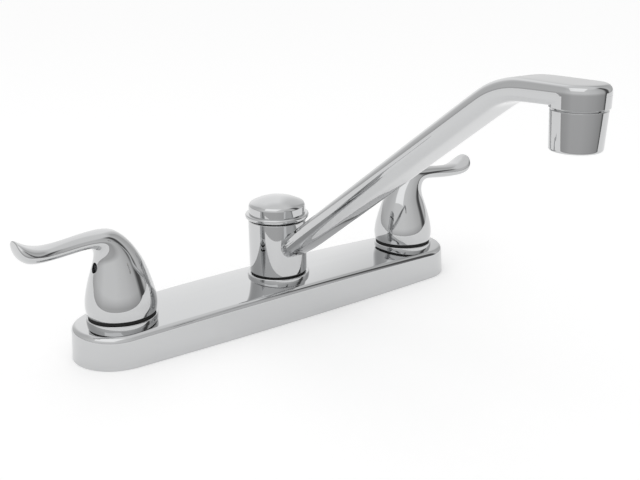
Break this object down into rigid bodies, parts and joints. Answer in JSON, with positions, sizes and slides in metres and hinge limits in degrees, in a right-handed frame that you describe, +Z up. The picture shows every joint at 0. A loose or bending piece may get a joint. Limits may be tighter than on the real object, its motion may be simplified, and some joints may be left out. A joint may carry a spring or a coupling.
{
  "type": "two handle kitchen faucet",
  "caption": "Deck mounted kitchen tap: long plate, a lever handle at each end, and a swinging spout that rises forwards to a round screw-on aerator.",
  "frame": {"origin": "centre of the underside, on the sink deck, midway between the two valve axes", "axes": "+X along the plate towards the cold handle, -Y towards the user and over the sink, +Z up"},
  "size_m": [0.3106, 0.2427, 0.2179],
  "materials": {
    "plate_chrome": "polished chrome plate",
    "handle_chrome": "polished chrome plate",
    "ring_chrome": "polished chrome plate",
    "cap_chrome": "polished chrome plate",
    "spout_chrome": "polished chrome plate",
    "aerator_chrome": "polished chrome plate",
    "cast_brass": "machined brass",
    "tube_copper": "drawn copper",
    "base_plastic": "moulded",
    "nut_plastic": "moulded",
    "glide_plastic": "moulded",
    "slip_plastic": "moulded",
    "cartridge_plastic": "moulded",
    "insert_plastic": "moulded",
    "disc_ceramic": "lapped ceramic",
    "seal_rubber": "moulded",
    "washer_steel": "zinc plated",
    "screw_steel": "plain",
    "screen_steel": "woven"
  },
  "bodies": {
    "fixed_deck_unit": {"deck_plate": "plate_chrome", "base_plate": "base_plastic", "centre_post": "cast_brass", "post_o_rings": "seal_rubber", "spout_base_ring": "ring_chrome", "lower_slip_washer": "slip_plastic", "upper_slip_washer": "slip_plastic", "spout_cap_nut": "cap_chrome", "hot_shank": "cast_brass", "hot_lock_nut": "nut_plastic", "hot_lock_washer": "washer_steel", "hot_valve_body": "cast_brass", "hot_cross_tube": "tube_copper", "hot_seat_seal": "seal_rubber", "hot_fixed_disc": "disc_ceramic", "hot_cartridge_housing": "cartridge_plastic", "hot_bonnet_nut": "cast_brass", "hot_handle_ring": "ring_chrome", "hot_glide_ring": "glide_plastic", "cold_shank": "cast_brass", "cold_lock_nut": "nut_plastic", "cold_lock_washer": "washer_steel", "cold_valve_body": "cast_brass", "cold_cross_tube": "tube_copper", "cold_seat_seal": "seal_rubber", "cold_fixed_disc": "disc_ceramic", "cold_cartridge_housing": "cartridge_plastic", "cold_bonnet_nut": "cast_brass", "cold_handle_ring": "ring_chrome", "cold_glide_ring": "glide_plastic"},
    "hot_control": {"hot_handle": "handle_chrome", "hot_set_screw": "screw_steel", "hot_cartridge_stem": "cast_brass", "hot_turning_disc": "disc_ceramic"},
    "cold_control": {"cold_handle": "handle_chrome", "cold_set_screw": "screw_steel", "cold_cartridge_stem": "cast_brass", "cold_turning_disc": "disc_ceramic"},
    "swing_spout": {"spout_collar": "spout_chrome", "spout_arm": "spout_chrome", "aerator_housing": "aerator_chrome", "aerator_gasket": "seal_rubber", "aerator_screen": "screen_steel", "aerator_insert": "insert_plastic"}
  },
  "joints": [
    {"name": "spout_swing", "type": "hinge", "parent": "fixed_deck_unit", "child": "swing_spout", "pos_m": [0, 0, 0.04], "axis": [0, 0, 1], "continuous": true},
    {"name": "hot_handle_turn", "type": "hinge", "parent": "fixed_deck_unit", "child": "hot_control", "pos_m": [-0.1016, 0, 0.04], "axis": [0, 0, 1], "range_deg": [0, 90]},
    {"name": "cold_handle_turn", "type": "hinge", "parent": "fixed_deck_unit", "child": "cold_control", "pos_m": [0.1016, 0, 0.04], "axis": [0, 0, -1], "range_deg": [0, 90]}
  ]
}
